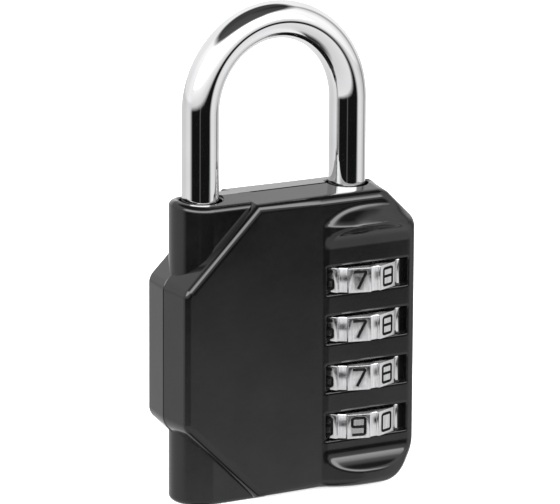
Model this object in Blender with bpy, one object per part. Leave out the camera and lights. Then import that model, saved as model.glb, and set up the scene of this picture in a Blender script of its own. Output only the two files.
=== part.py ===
"""Four-dial combination padlock with a round steel shackle.

All sizes below are millimetres in the lock's own frame: X to the right, Y to the back, Z up.
The origin is under the middle of the body, on its flat base. Each half of the case, and each
piece inside it, is its own object; a piece that moves has its origin on its joint's axis.
"""
import math

import bmesh
import bpy
from mathutils import Matrix, Vector

MM = 0.001
GAP = 0.3                    # clearance left between pieces that touch or slide

# case
BODY_HEIGHT = 49.4
HALF_WIDTH = 21.5
PLATE_FACE = 6.6             # distance of the flat front and rear faces from the seam
DRAFT = 0.58                 # how far the sides have drawn in where the faces begin
EDGE_RADIUS = 1.2
LEFT_CHAMFER = 13.3          # 45 degree corners beside the heel column
RIGHT_CHAMFER = 6.0          # upper right corner
LOWER_RIGHT_RADIUS = 7.0
COLUMN_RADIUS = 5.0          # half-round column around the heel leg
COLUMN_EDGE = 0.9

# shackle
HEEL_X = -14.9
TOE_X = 11.5
LEG_RADIUS = 3.0
ARCH_BASE = BODY_HEIGHT + 13.5
ARCH_RISE = 13.9
LIFT = 9.6
HEEL_END = 12.0
TOE_END = 41.0
BORE_RADIUS = 3.4
CLIP_BASE = 20.0
CLIP_THICKNESS = 0.9

# dials
DIAL_X = TOE_X
DIAL_COUNT = 4
DIAL_PITCH = 8.06
TOP_DIAL_Z = BODY_HEIGHT - 14.45
RING_RADIUS = 8.8
RING_GROOVE = 0.38           # depth of the grooves between the numbers
RING_PHASE = 2.0             # degrees from +X to the middle of a number's facet
RING_HEIGHT = 4.1
RING_BORE = 4.6
DIGITS = 10
WINDOW_HALF_WIDTH = 7.35
WINDOW_HEIGHT = 4.6
SLOT_RADIUS = RING_RADIUS + 0.4
HUB_RADIUS = 5.2             # room for the sleeves and spacers behind the bars
SLEEVE_RADIUS = 4.0
SLEEVE_BELOW = 3.9
SLEEVE_ABOVE = 2.1
SLEEVE_BORE = 1.95
CHAMBER_RADIUS = 3.2
KEY_WIDTH = 1.8
SPACER_THICKNESS = 1.46

# boss over the dials
BOSS_HALF_WIDTH = 7.95
BOSS_RISE = 2.1
BROW_Z = BODY_HEIGHT - 5.6   # lower edge of the brow above the windows
CHANNEL_TOP = BODY_HEIGHT - 9.4
CHANNEL_FOOT = BODY_HEIGHT - 42.8
SCOOP_RADIUS = 4.0

# lock work
SPINDLE_RADIUS = 1.6
SPINDLE_FOOT = 2.2
SPINDLE_TOP = 40.3
TOOTH_RADIUS = 2.9
TOOTH_WIDTH = 1.1
TOOTH_HEIGHT = 1.2
CROSS_PIN_Z = 39.1
CROSS_PIN_RADIUS = 0.5
LATCH_RATIO = 0.6            # latch travel for each millimetre of shackle lift
SPINDLE_RATIO = 0.2          # spindle travel for each millimetre of shackle lift
LATCH_HALF_WIDTH = 2.5
LATCH_TOP = 46.6
LATCH_NOSE_X = 10.2
LATCH_FACE_X = 7.8
LATCH_TAIL_X = 1.6
LATCH_BASE = 37.5
NOSE_ROOT_Z = 42.0
POCKET_LEFT_X = -8.6

ROUND_STEPS = 28

PINS = ((-4.0, 7.0), (-8.5, 24.0), (16.6, 44.4), (18.3, 4.5))
PIN_RADIUS = 0.9
PIN_HALF_LENGTH = 4.4


def clear_scene():
    """Start from an empty file."""
    for obj in list(bpy.data.objects):
        bpy.data.objects.remove(obj)


def material(name, color, roughness, metallic):
    """A plain principled material."""
    mat = bpy.data.materials.new(name)
    mat.use_nodes = True
    shader = mat.node_tree.nodes["Principled BSDF"]
    shader.inputs["Base Color"].default_value = (*color, 1)
    shader.inputs["Roughness"].default_value = roughness
    shader.inputs["Metallic"].default_value = metallic
    return mat


def finish(name, bm, mat, origin=(0, 0, 0), parent=None):
    """Turn a bmesh in millimetres into a named object whose origin is at the given point."""
    bmesh.ops.translate(bm, verts=bm.verts, vec=-Vector(origin))
    bmesh.ops.scale(bm, verts=bm.verts, vec=(MM, MM, MM))
    bmesh.ops.recalc_face_normals(bm, faces=bm.faces)
    mesh = bpy.data.meshes.new(name)
    bm.to_mesh(mesh)
    bm.free()
    mesh.shade_smooth()
    mesh.set_sharp_from_angle(angle=math.radians(35))
    obj = bpy.data.objects.new(name, mesh)
    bpy.context.collection.objects.link(obj)
    obj.location = Vector(origin) * MM
    if parent:
        obj.parent = parent
        obj.location = Vector(origin) * MM - parent.location
    if mat:
        mesh.materials.append(mat)
    return obj


def cutter(name, bm):
    """A guide solid for a Boolean; it is not a piece of the lock."""
    obj = finish(name, bm, None)
    obj.hide_render = True
    obj.display_type = "WIRE"
    return obj


def combine(obj, other, operation="DIFFERENCE"):
    """Add a Boolean of one object on another."""
    mod = obj.modifiers.new(other.name, "BOOLEAN")
    mod.operation = operation
    mod.solver = "EXACT"
    mod.object = other


def pivot(name, origin):
    """An empty on the axis of a joint."""
    empty = bpy.data.objects.new(name, None)
    empty.location = Vector(origin) * MM
    bpy.context.collection.objects.link(empty)
    return empty


def add_prism(bm, outline, low, high, axis="Z"):
    """Extrude a closed outline. Its points are (x, y) for Z, (x, z) for Y and (y, z) for X."""
    place = {
        "Z": lambda a, b, c: (a, b, c),
        "Y": lambda a, b, c: (a, c, b),
        "X": lambda a, b, c: (c, a, b),
    }[axis]
    face = bm.faces.new([bm.verts.new(place(a, b, low)) for a, b in outline])
    grown = bmesh.ops.extrude_face_region(bm, geom=[face])["geom"]
    tips = [item for item in grown if isinstance(item, bmesh.types.BMVert)]
    bmesh.ops.translate(bm, verts=tips, vec=place(0, 0, high - low))


def add_box(bm, low, high):
    """A box between two corners."""
    size = [b - a for a, b in zip(low, high)]
    middle = [(a + b) / 2 for a, b in zip(low, high)]
    spot = Matrix.Translation(middle) @ Matrix.Diagonal((*size, 1))
    bmesh.ops.create_cube(bm, size=1, matrix=spot)


def add_rod(bm, center, radius, low, high, axis="Z", steps=ROUND_STEPS):
    """A round rod; center gives its two other coordinates."""
    middle = (low + high) / 2
    spots = {
        "Z": ((center[0], center[1], middle), Matrix()),
        "Y": ((center[0], middle, center[1]), Matrix.Rotation(math.pi / 2, 4, "X")),
        "X": ((middle, center[0], center[1]), Matrix.Rotation(math.pi / 2, 4, "Y")),
    }
    point, turn = spots[axis]
    bmesh.ops.create_cone(bm, cap_ends=True, segments=steps, radius1=radius, radius2=radius,
                          depth=high - low, matrix=Matrix.Translation(point) @ turn)


def rod_mesh(*args, **options):
    """A bmesh that holds one rod."""
    bm = bmesh.new()
    add_rod(bm, *args, **options)
    return bm


def box_mesh(low, high):
    """A bmesh that holds one box."""
    bm = bmesh.new()
    add_box(bm, low, high)
    return bm


def arc(center, radius, start, end, steps):
    """Points along an arc, with angles in degrees."""
    turns = [math.radians(start + (end - start) * i / steps) for i in range(steps + 1)]
    return [(center[0] + radius * math.cos(t), center[1] + radius * math.sin(t)) for t in turns]


def dial_height(index):
    """Middle height of a dial, counted from 0 at the top."""
    return TOP_DIAL_Z - index * DIAL_PITCH


# ---------------------------------------------------------------- case halves

def plate_outline(inset, base):
    """Front view of the case, drawn in by inset everywhere except at the base."""
    corner = inset * (math.sqrt(2) - 1)
    left = -HALF_WIDTH + inset
    right = HALF_WIDTH - inset
    top = BODY_HEIGHT - inset
    radius = LOWER_RIGHT_RADIUS - inset
    lower_right = arc((right - radius, base + radius), radius, -90, 0, 6)
    return [
        (-HALF_WIDTH + LEFT_CHAMFER + corner, base),
        *lower_right,
        (right, BODY_HEIGHT - RIGHT_CHAMFER - corner),
        (HALF_WIDTH - RIGHT_CHAMFER - corner, top),
        (-HALF_WIDTH + LEFT_CHAMFER + corner, top),
        (left, BODY_HEIGHT - LEFT_CHAMFER - corner),
        (left, LEFT_CHAMFER + corner),
    ]


def loft(bm, loops):
    """Join loops of equal length into one closed skin."""
    rings = [[bm.verts.new(point) for point in loop] for loop in loops]
    bm.faces.new(rings[0])
    bm.faces.new(rings[-1])
    count = len(rings[0])
    for low, high in zip(rings, rings[1:]):
        for i in range(count):
            j = (i + 1) % count
            bm.faces.new((low[i], low[j], high[j], high[i]))


def plate(side):
    """The wide flat part of one case half, with its draft and rounded front edge."""
    loops = []
    steps = 3
    shoulder = PLATE_FACE - EDGE_RADIUS
    loops.append([(x, side * GAP / 2, z) for x, z in plate_outline(0, 0)])
    for i in range(steps + 1):
        turn = math.pi / 2 * i / steps
        depth = side * (shoulder + EDGE_RADIUS * math.sin(turn))
        rounding = EDGE_RADIUS * (1 - math.cos(turn))
        loops.append([(x, depth, z) for x, z in plate_outline(DRAFT + rounding, rounding)])
    bm = bmesh.new()
    loft(bm, loops)
    return bm


def column_plan(inset):
    """Half plan of the heel column and of the slab that joins it to the plate."""
    inner = -HALF_WIDTH + LEFT_CHAMFER + 3
    radius = COLUMN_RADIUS - inset
    return [(inner, GAP / 2), (inner, radius), *arc((HEEL_X, 0), radius, 90, 178, 8)]


def column(side):
    """Heel column of one half, with rounded ends and a top that slopes like the plate's."""
    slope = DRAFT / (PLATE_FACE - EDGE_RADIUS)
    sink = 0.02
    levels = [(COLUMN_EDGE, 0.0), (COLUMN_EDGE * 0.3, COLUMN_EDGE * 0.3), (0, COLUMN_EDGE)]
    loops = []
    for inset, height in levels:
        loops.append([(x, side * y, height + sink) for x, y in column_plan(inset)])
    for inset, height in reversed(levels):
        level = BODY_HEIGHT - height - sink
        loops.append([(x, side * y, level - slope * y) for x, y in column_plan(inset)])
    bm = bmesh.new()
    loft(bm, loops)
    return bm


def boss_profile(shift):
    """Plan of the convex boss over the dials, moved back by shift."""
    radius = (BOSS_HALF_WIDTH ** 2 + BOSS_RISE ** 2) / (2 * BOSS_RISE)
    reach = math.degrees(math.asin(BOSS_HALF_WIDTH / radius))
    middle = PLATE_FACE + BOSS_RISE - radius - shift
    crown = arc((DIAL_X, middle), radius, 90 - reach, 90 + reach, 14)
    foot = PLATE_FACE - 3.5
    return [(DIAL_X + BOSS_HALF_WIDTH, foot), *crown, (DIAL_X - BOSS_HALF_WIDTH, foot)]


def boss(side):
    """The boss leans back above the brow and rounds away above the base."""
    stations = [(0.6, 1.1), (1.4, 0.45), (2.6, 0.0), (BROW_Z, 0.0)]
    stations += [(BROW_Z + 2.4, 0.95), (BROW_Z + 4.6, 2.3)]
    bm = bmesh.new()
    loft(bm, [[(x, side * y, z) for x, y in boss_profile(shift)] for z, shift in stations])
    return bm


def boss_trim():
    """Front view of the case, as a guide that stops the boss at the case's corners."""
    bm = bmesh.new()
    add_prism(bm, plate_outline(DRAFT + 0.3, 0), -12, 12, "Y")
    return cutter("boss_trim", bm)


def channel():
    """Flat channel across the boss with a hollow curve at each end, on both faces."""
    face = PLATE_FACE - 0.04
    outside = PLATE_FACE + 3.2
    bm = bmesh.new()
    reach = math.degrees(math.acos((SCOOP_RADIUS - (outside - face)) / SCOOP_RADIUS))
    low = arc((face + SCOOP_RADIUS, CHANNEL_FOOT), SCOOP_RADIUS, 180 + reach, 180, 7)
    high = arc((face + SCOOP_RADIUS, CHANNEL_TOP), SCOOP_RADIUS, 180, 180 - reach, 7)
    for side in (-1, 1):
        outline = [(side * y, z) for y, z in low + high]
        reach_x = BOSS_HALF_WIDTH + 0.1
        add_prism(bm, outline, DIAL_X - reach_x, DIAL_X + reach_x, "X")
    return cutter("channel_cut", bm)


def dial_openings():
    """Windows straight through both faces, widened to round slots that the rings turn in."""
    reach = 12
    corner = math.degrees(math.acos(WINDOW_HALF_WIDTH / SLOT_RADIUS))
    right = arc((DIAL_X, 0), SLOT_RADIUS, -corner, corner, 12)
    left = arc((DIAL_X, 0), SLOT_RADIUS, 180 - corner, 180 + corner, 12)
    low_x = DIAL_X - WINDOW_HALF_WIDTH
    high_x = DIAL_X + WINDOW_HALF_WIDTH
    outline = [(high_x, -reach), *right, (high_x, reach), (low_x, reach), *left, (low_x, -reach)]
    bm = bmesh.new()
    for index in range(DIAL_COUNT):
        z = dial_height(index)
        add_prism(bm, outline, z - WINDOW_HEIGHT / 2, z + WINDOW_HEIGHT / 2)
    return cutter("dial_opening_cut", bm)


def leg_bores():
    """Bores for the two shackle legs; the heel's is wider below its stop."""
    bm = bmesh.new()
    add_rod(bm, (TOE_X, 0), BORE_RADIUS, TOE_END - 0.6, BODY_HEIGHT + 2)
    stop = CLIP_BASE + CLIP_THICKNESS + LIFT + GAP
    profile = [(0, 3.5), (4.2, 3.5), (4.2, stop), (BORE_RADIUS, stop)]
    profile += [(BORE_RADIUS, BODY_HEIGHT + 2), (0, BODY_HEIGHT + 2)]
    add_turned(bm, profile, (HEEL_X, 0))
    return cutter("leg_bore_cut", bm)


def add_turned(bm, profile, center, steps=ROUND_STEPS):
    """Turn a profile of (radius, height) points about a vertical axis."""
    verts = [bm.verts.new((center[0] + r, center[1], z)) for r, z in profile]
    edges = [bm.edges.new(pair) for pair in zip(verts, verts[1:])]
    closed = profile[0][0] > 0
    if closed:
        edges.append(bm.edges.new((verts[-1], verts[0])))
    bmesh.ops.spin(bm, geom=verts + edges, cent=(*center, 0), axis=(0, 0, 1),
                   angle=math.tau, steps=steps, use_merge=True)
    bmesh.ops.remove_doubles(bm, verts=bm.verts, dist=0.001)


def dial_well():
    """Bore for the sleeves and the foot of the spindle."""
    profile = [(0, 1.5), (SLEEVE_BORE, 1.5), (SLEEVE_BORE, 3.7), (HUB_RADIUS, 3.7),
               (HUB_RADIUS, LATCH_BASE - 0.1), (0, LATCH_BASE - 0.1)]
    bm = bmesh.new()
    add_turned(bm, profile, (DIAL_X, 0))
    return cutter("dial_well_cut", bm)


def latch_pocket():
    """Room for the latch, its spring and the tongue above the dials."""
    half = LATCH_HALF_WIDTH + GAP
    step = TOE_END + 1.8
    right = 19.0
    outline = [(POCKET_LEFT_X, LATCH_BASE - GAP), (right, LATCH_BASE - GAP), (right, step),
               (LATCH_NOSE_X + 0.4, step), (LATCH_NOSE_X + 0.4, LATCH_TOP + GAP),
               (POCKET_LEFT_X, LATCH_TOP + GAP)]
    bm = bmesh.new()
    add_prism(bm, outline, -half, half, "Y")
    return cutter("latch_pocket_cut", bm)


def inner_pockets():
    """Core that lightens the casting, and the recess of the detent strip."""
    bm = bmesh.new()
    add_box(bm, (-6.2, -4.8, 11.5), (-0.4, 4.8, 34.5))
    add_box(bm, (0.9, -2.4, 8.2), (DIAL_X - HUB_RADIUS + 0.6, 2.4, LATCH_BASE - 0.2))
    return cutter("core_cut", bm)


def pin_holes():
    """Blind holes for the pins that hold the halves together."""
    bm = bmesh.new()
    for x, z in PINS:
        add_rod(bm, (x, z), PIN_RADIUS + GAP, -PIN_HALF_LENGTH - GAP, PIN_HALF_LENGTH + GAP,
                "Y", 16)
    return cutter("pin_hole_cut", bm)


def case_halves(mat):
    """Front and rear castings, each cut by the same cores."""
    trim = boss_trim()
    cuts = [channel(), dial_openings(), leg_bores(), dial_well(), latch_pocket(),
            inner_pockets(), pin_holes()]
    for name, side in (("front_case", -1), ("rear_case", 1)):
        half = finish(name, plate(side), mat)
        crown = cutter(f"{name}_boss", boss(side))
        combine(crown, trim, "INTERSECT")
        combine(half, cutter(f"{name}_column", column(side)), "UNION")
        combine(half, crown, "UNION")
        for cut in cuts:
            combine(half, cut)


def case_pins(mat):
    """Press pins across the seam."""
    for number, (x, z) in enumerate(PINS, 1):
        bm = rod_mesh((x, z), PIN_RADIUS, -PIN_HALF_LENGTH, PIN_HALF_LENGTH, "Y", steps=16)
        finish(f"case_pin_{number}", bm, mat)


# ---------------------------------------------------------------- shackle

def shackle(mat, holder):
    """Round bar bent to a U, its toe notched for the latch and its heel grooved for a clip."""
    middle = (HEEL_X + TOE_X) / 2
    half = (TOE_X - HEEL_X) / 2
    path = [(HEEL_X, HEEL_END), (HEEL_X, 30), (HEEL_X, BODY_HEIGHT), (HEEL_X, ARCH_BASE)]
    bends = 18
    for i in range(1, bends):
        turn = math.pi * (1 - i / bends)
        path.append((middle + half * math.cos(turn), ARCH_BASE + ARCH_RISE * math.sin(turn)))
    path += [(TOE_X, ARCH_BASE), (TOE_X, BODY_HEIGHT), (TOE_X, TOE_END)]
    steps = 20
    loops = []
    for i, (x, z) in enumerate(path):
        ahead = path[min(i + 1, len(path) - 1)]
        behind = path[max(i - 1, 0)]
        along = Vector((ahead[0] - behind[0], 0, ahead[1] - behind[1])).normalized()
        across = along.cross(Vector((0, 1, 0)))
        spot = Vector((x, 0, z))
        loops.append([
            spot + LEG_RADIUS * (math.cos(t) * across + math.sin(t) * Vector((0, 1, 0)))
            for t in (math.tau * k / steps for k in range(steps))
        ])
    bm = bmesh.new()
    loft(bm, loops)
    bar = finish("shackle", bm, mat, (HEEL_X, 0, BODY_HEIGHT), holder)
    combine(bar, toe_notch())
    combine(bar, clip_groove())
    return bar


def toe_notch():
    """Notch on the toe's inner side; its lower flank leans as far as the latch moves."""
    wall = LATCH_NOSE_X + 0.35
    slack = 0.41
    flank_top = NOSE_ROOT_Z + (wall - LATCH_FACE_X - slack) / LATCH_RATIO
    outer = TOE_X - LEG_RADIUS - 1
    flank_foot = NOSE_ROOT_Z + (outer - LATCH_FACE_X - slack) / LATCH_RATIO
    outline = [(outer, flank_foot), (wall, flank_top), (wall, LATCH_TOP + 0.35),
               (outer, LATCH_TOP + 0.35)]
    bm = bmesh.new()
    add_prism(bm, outline, -5, 5, "Y")
    return cutter("toe_notch_cut", bm)


def clip_groove():
    """Turned groove for the retaining clip on the heel leg."""
    low = CLIP_BASE - 0.3
    high = CLIP_BASE + CLIP_THICKNESS + 0.3
    bm = bmesh.new()
    add_turned(bm, [(2.2, low), (LEG_RADIUS + 1, low), (LEG_RADIUS + 1, high), (2.2, high)],
               (HEEL_X, 0), 20)
    return cutter("clip_groove_cut", bm)


def heel_clip(mat, holder):
    """Open spring clip that stops the heel at the shoulder in its bore."""
    inner = arc((HEEL_X, 0), 2.5, 35, 325, 16)
    outer = arc((HEEL_X, 0), 3.85, 325, 35, 16)
    bm = bmesh.new()
    add_prism(bm, inner + outer, CLIP_BASE, CLIP_BASE + CLIP_THICKNESS)
    finish("heel_clip", bm, mat, (HEEL_X, 0, BODY_HEIGHT), holder)


def coil(name, mat, start, axis, length, radius, wire, turns):
    """Helical spring along an axis, as a curve with a round bevel and filled caps."""
    curve = bpy.data.curves.new(name, "CURVE")
    curve.dimensions = "3D"
    curve.bevel_depth = wire * MM
    curve.bevel_resolution = 1
    curve.resolution_u = 1
    curve.render_resolution_u = 0
    curve.use_fill_caps = True
    per_turn = 10
    count = turns * per_turn
    spline = curve.splines.new("POLY")
    spline.points.add(count)
    for i in range(count + 1):
        turn = math.tau * i / per_turn
        along = wire + (length - 2 * wire) * i / count
        swing = (radius * math.cos(turn), radius * math.sin(turn))
        offset = (along, *swing) if axis == "X" else (*swing, along)
        spline.points[i].co = (*(o * MM for o in offset), 1)
    obj = bpy.data.objects.new(name, curve)
    bpy.context.collection.objects.link(obj)
    obj.location = Vector(start) * MM
    curve.materials.append(mat)


def heel_parts(spring_mat, steel):
    """Spring that lifts the shackle, on its seat at the foot of the heel bore."""
    bm = bmesh.new()
    add_turned(bm, [(1.2, 3.8), (3.8, 3.8), (3.8, 4.5), (1.2, 4.5)], (HEEL_X, 0), 20)
    finish("heel_spring_seat", bm, steel)
    base = 4.8
    coil("heel_spring", spring_mat, (HEEL_X, 0, base), "Z", HEEL_END - GAP - base, 2.6, 0.4, 5)


# ---------------------------------------------------------------- dials

def ring_profile():
    """Outline of a dial ring: ten flat number facets with a shallow groove between each two."""
    step = 360 / DIGITS
    groove_radius = RING_RADIUS - RING_GROOVE
    points = []
    for i in range(DIGITS):
        middle = RING_PHASE + i * step
        for offset, radius in ((-12.4, RING_RADIUS), (12.4, RING_RADIUS),
                               (13.6, groove_radius), (22.4, groove_radius)):
            turn = math.radians(middle + offset)
            points.append((DIAL_X + radius * math.cos(turn), radius * math.sin(turn)))
    return points


def splined(plain, deep):
    """Closed ten-tooth spline outline about the dial axis."""
    points = []
    for i in range(DIGITS):
        for turn, radius in ((0, plain), (2, deep), (10, deep), (12, plain), (24, plain)):
            angle = math.radians(i * 36 + turn)
            points.append((DIAL_X + radius * math.cos(angle), radius * math.sin(angle)))
    return points


def dial(index, metal, brass, key_cut):
    """One ring and the sleeve inside it, both about the dial axis."""
    number = index + 1
    z = dial_height(index)
    axle = pivot(f"dial_{number}_axis", (DIAL_X, 0, z))
    bm = bmesh.new()
    bore = splined(RING_BORE, RING_BORE + 0.35)
    pierced_plate(bm, ring_profile(), bore, z - RING_HEIGHT / 2, z + RING_HEIGHT / 2)
    finish(f"dial_ring_{number}", bm, metal, (DIAL_X, 0, z), axle)
    sleeve(number, z, brass, axle, key_cut)


def pierced_plate(bm, outer, inner, low, high):
    """Extrude the face between two outlines, one inside the other."""
    rims = []
    for outline in (outer, inner):
        verts = [bm.verts.new((*point, low)) for point in outline]
        rims.append([bm.edges.new((a, b)) for a, b in zip(verts, verts[1:] + verts[:1])])
    faces = bmesh.ops.triangle_fill(bm, use_beauty=True, use_dissolve=False,
                                    edges=rims[0] + rims[1])["geom"]
    faces = [item for item in faces if isinstance(item, bmesh.types.BMFace)]
    grown = bmesh.ops.extrude_face_region(bm, geom=faces)["geom"]
    tips = [item for item in grown if isinstance(item, bmesh.types.BMVert)]
    bmesh.ops.translate(bm, verts=tips, vec=(0, 0, high - low))


def sleeve(number, z, mat, axle, key_cut):
    """Sleeve with a chamber for the spindle's tooth and a keyway that lets it pass."""
    low = z - SLEEVE_BELOW
    high = z + SLEEVE_ABOVE
    chamber = (z - 2.3, z - 0.3)
    profile = [(SLEEVE_BORE, low), (SLEEVE_RADIUS, low), (SLEEVE_RADIUS, high),
               (SLEEVE_BORE, high), (SLEEVE_BORE, chamber[1]), (CHAMBER_RADIUS, chamber[1]),
               (CHAMBER_RADIUS, chamber[0]), (SLEEVE_BORE, chamber[0])]
    bm = bmesh.new()
    add_turned(bm, profile, (DIAL_X, 0), 24)
    obj = finish(f"dial_sleeve_{number}", bm, mat, (DIAL_X, 0, z), axle)
    combine(obj, key_cut)


def keyway():
    """Two keyways through every sleeve: the true gate and a decoy opposite it."""
    reach = CHAMBER_RADIUS + 0.01
    half = KEY_WIDTH / 2
    bm = bmesh.new()
    add_box(bm, (DIAL_X - half, -reach, 4), (DIAL_X + half, reach, 40))
    return cutter("keyway_cut", bm)


def spacers(mat):
    """Fixed washers below the sleeves."""
    for number in range(1, DIAL_COUNT + 1):
        top = dial_height(number - 1) - SLEEVE_BELOW - GAP
        low = top - SPACER_THICKNESS
        bm = bmesh.new()
        add_turned(bm, [(3.3, low), (HUB_RADIUS - GAP, low), (HUB_RADIUS - GAP, top), (3.3, top)],
                   (DIAL_X, 0), 24)
        finish(f"spacer_{number}", bm, mat)


def wave_washer(mat):
    """Sprung washer that takes up the play of the dial stack."""
    inner = 3.3
    outer = HUB_RADIUS - GAP
    steps = 24
    crest = 0.2
    level = dial_height(DIAL_COUNT - 1) - SLEEVE_BELOW - SPACER_THICKNESS - 2 * GAP - 0.75
    bm = bmesh.new()
    add_turned(bm, [(inner, level), (outer, level), (outer, level + 0.3), (inner, level + 0.3)],
               (DIAL_X, 0), steps)
    for vert in bm.verts:
        turn = math.atan2(vert.co.y, vert.co.x - DIAL_X)
        vert.co.z += crest * math.sin(3 * turn) + crest
    finish("wave_washer", bm, mat)


def detent_strip(mat):
    """Leaf spring with a hump facing each dial ring."""
    back = 1.25
    thick = 0.3
    rest = DIAL_X - RING_RADIUS - GAP
    front = []
    rear = []
    for index in reversed(range(DIAL_COUNT)):
        z = dial_height(index)
        for dz, out in ((-2.0, 0), (-0.6, 0.9), (0.6, 0.9), (2.0, 0)):
            front.append((min(back + thick + out, rest), z + dz))
            rear.append((back + out, z + dz))
    bm = bmesh.new()
    add_prism(bm, front + rear[::-1], -2.0, 2.0, "Y")
    finish("detent_strip", bm, mat)


# ---------------------------------------------------------------- lock work

def spindle(mat, holder):
    """Spindle with one tooth for each dial and a hole for its cross pin."""
    bm = rod_mesh((DIAL_X, 0), SPINDLE_RADIUS, SPINDLE_FOOT, SPINDLE_TOP, steps=20)
    obj = finish("spindle", bm, mat, (DIAL_X, 0, SPINDLE_FOOT), holder)
    teeth = bmesh.new()
    for index in range(DIAL_COUNT):
        z = dial_height(index) - 2.0
        add_box(teeth, (DIAL_X - TOOTH_WIDTH / 2, -TOOTH_RADIUS, z),
                (DIAL_X + TOOTH_WIDTH / 2, 0, z + TOOTH_HEIGHT))
    combine(obj, cutter("spindle_teeth", teeth), "UNION")
    hole = rod_mesh((DIAL_X, CROSS_PIN_Z), CROSS_PIN_RADIUS + 0.3, -3, 3, "Y", steps=12)
    combine(obj, cutter("cross_hole_cut", hole))


def cross_pin(mat, holder):
    """Pin through the spindle's head that runs in the latch's sloping slots."""
    bm = rod_mesh((DIAL_X, CROSS_PIN_Z), CROSS_PIN_RADIUS, -LATCH_HALF_WIDTH, LATCH_HALF_WIDTH,
                  "Y", steps=12)
    finish("spindle_cross_pin", bm, mat, (DIAL_X, 0, SPINDLE_FOOT), holder)


def latch(mat, holder):
    """Latch: a nose for the toe notch, and a forked tongue with a sloping slot."""
    slope = SPINDLE_RATIO / LATCH_RATIO
    nose_z = NOSE_ROOT_Z + (LATCH_NOSE_X - LATCH_FACE_X) / LATCH_RATIO
    travel = LATCH_RATIO * LIFT
    slot_half = CROSS_PIN_RADIUS + 0.3
    web = 0.55
    end = DIAL_X + travel + slot_half + web
    lift = slope * travel
    low = CROSS_PIN_Z - slot_half - web
    high = CROSS_PIN_Z + slot_half + web
    outline = [
        (LATCH_TAIL_X, LATCH_BASE),
        (DIAL_X, low),
        (end, low + lift),
        (end, high + lift),
        (DIAL_X - 0.8, high - slope * 0.8),
        (LATCH_FACE_X, high - slope * (DIAL_X - LATCH_FACE_X)),
        (LATCH_FACE_X, NOSE_ROOT_Z),
        (LATCH_NOSE_X, nose_z),
        (LATCH_NOSE_X, LATCH_TOP),
        (LATCH_TAIL_X, LATCH_TOP),
    ]
    bm = bmesh.new()
    add_prism(bm, outline, -LATCH_HALF_WIDTH, LATCH_HALF_WIDTH, "Y")
    obj = finish("latch", bm, mat, (LATCH_TAIL_X, 0, LATCH_TOP), holder)
    fork = box_mesh((LATCH_FACE_X + 0.1, -SPINDLE_RADIUS - GAP, 30),
                    (end + 5, SPINDLE_RADIUS + GAP, CROSS_PIN_Z + 3.6))
    combine(obj, cutter("fork_cut", fork))
    slot = [
        (DIAL_X - slot_half, CROSS_PIN_Z - slot_half - slope * slot_half),
        (DIAL_X + travel + slot_half, CROSS_PIN_Z - slot_half + lift + slope * slot_half),
        (DIAL_X + travel + slot_half, CROSS_PIN_Z + slot_half + lift + slope * slot_half),
        (DIAL_X - slot_half, CROSS_PIN_Z + slot_half - slope * slot_half),
    ]
    bm = bmesh.new()
    add_prism(bm, slot, -4, 4, "Y")
    combine(obj, cutter("slope_slot_cut", bm))


def main():
    """Build every piece."""
    clear_scene()
    paint = material("black_lacquer", (0.012, 0.012, 0.013), 0.28, 0.0)
    chrome = material("chrome", (0.62, 0.62, 0.63), 0.08, 1.0)
    satin = material("satin_chrome", (0.55, 0.55, 0.56), 0.3, 1.0)
    brass = material("brass", (0.6, 0.42, 0.16), 0.35, 1.0)
    steel = material("steel", (0.36, 0.36, 0.37), 0.35, 1.0)
    spring = material("spring_steel", (0.25, 0.25, 0.27), 0.3, 1.0)

    case_halves(paint)
    case_pins(steel)

    lift = pivot("shackle_axis", (HEEL_X, 0, BODY_HEIGHT))
    shackle(chrome, lift)
    heel_clip(spring, lift)
    heel_parts(spring, steel)

    gates = keyway()
    for index in range(DIAL_COUNT):
        dial(index, satin, brass, gates)
    spacers(steel)
    wave_washer(spring)
    detent_strip(spring)

    rise = pivot("spindle_axis", (DIAL_X, 0, SPINDLE_FOOT))
    spindle(steel, rise)
    cross_pin(steel, rise)
    slide = pivot("latch_axis", (LATCH_TAIL_X, 0, LATCH_TOP))
    latch(steel, slide)
    spring_base = POCKET_LEFT_X + GAP
    coil("latch_spring", spring, (spring_base, 0, 43), "X", LATCH_TAIL_X - GAP - spring_base,
         2.0, 0.3, 7)


main()
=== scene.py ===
import math

import bmesh
import bpy
from mathutils import Euler, Matrix, Vector


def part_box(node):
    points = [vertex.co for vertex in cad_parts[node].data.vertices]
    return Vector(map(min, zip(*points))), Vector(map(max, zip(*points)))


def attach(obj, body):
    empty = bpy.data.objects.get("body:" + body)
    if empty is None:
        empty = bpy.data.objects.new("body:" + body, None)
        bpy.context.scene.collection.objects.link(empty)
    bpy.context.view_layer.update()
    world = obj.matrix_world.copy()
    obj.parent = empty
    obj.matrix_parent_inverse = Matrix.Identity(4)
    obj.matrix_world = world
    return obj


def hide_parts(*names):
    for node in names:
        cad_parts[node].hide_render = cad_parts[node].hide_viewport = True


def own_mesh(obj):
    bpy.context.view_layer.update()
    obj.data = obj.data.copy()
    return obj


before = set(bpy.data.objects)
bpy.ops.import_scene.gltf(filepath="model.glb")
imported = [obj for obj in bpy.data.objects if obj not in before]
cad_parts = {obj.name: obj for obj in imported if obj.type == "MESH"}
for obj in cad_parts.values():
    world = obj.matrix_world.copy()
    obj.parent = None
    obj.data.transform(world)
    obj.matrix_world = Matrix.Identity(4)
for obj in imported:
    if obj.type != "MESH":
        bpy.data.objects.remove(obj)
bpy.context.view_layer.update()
mm = 0.001


# small helpers; everything is drawn in millimetres and scaled at the end

def boxMm(node):
    low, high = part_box(node)
    return low / mm, high / mm


def smooth(low, high, value):
    t = min(1.0, max(0.0, (value - low) / (high - low)))
    return t * t * (3 - 2 * t)


def softMax(a, b, width):
    gap = max(width - abs(a - b), 0.0) / width
    return max(a, b) + gap * gap * width / 4


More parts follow.
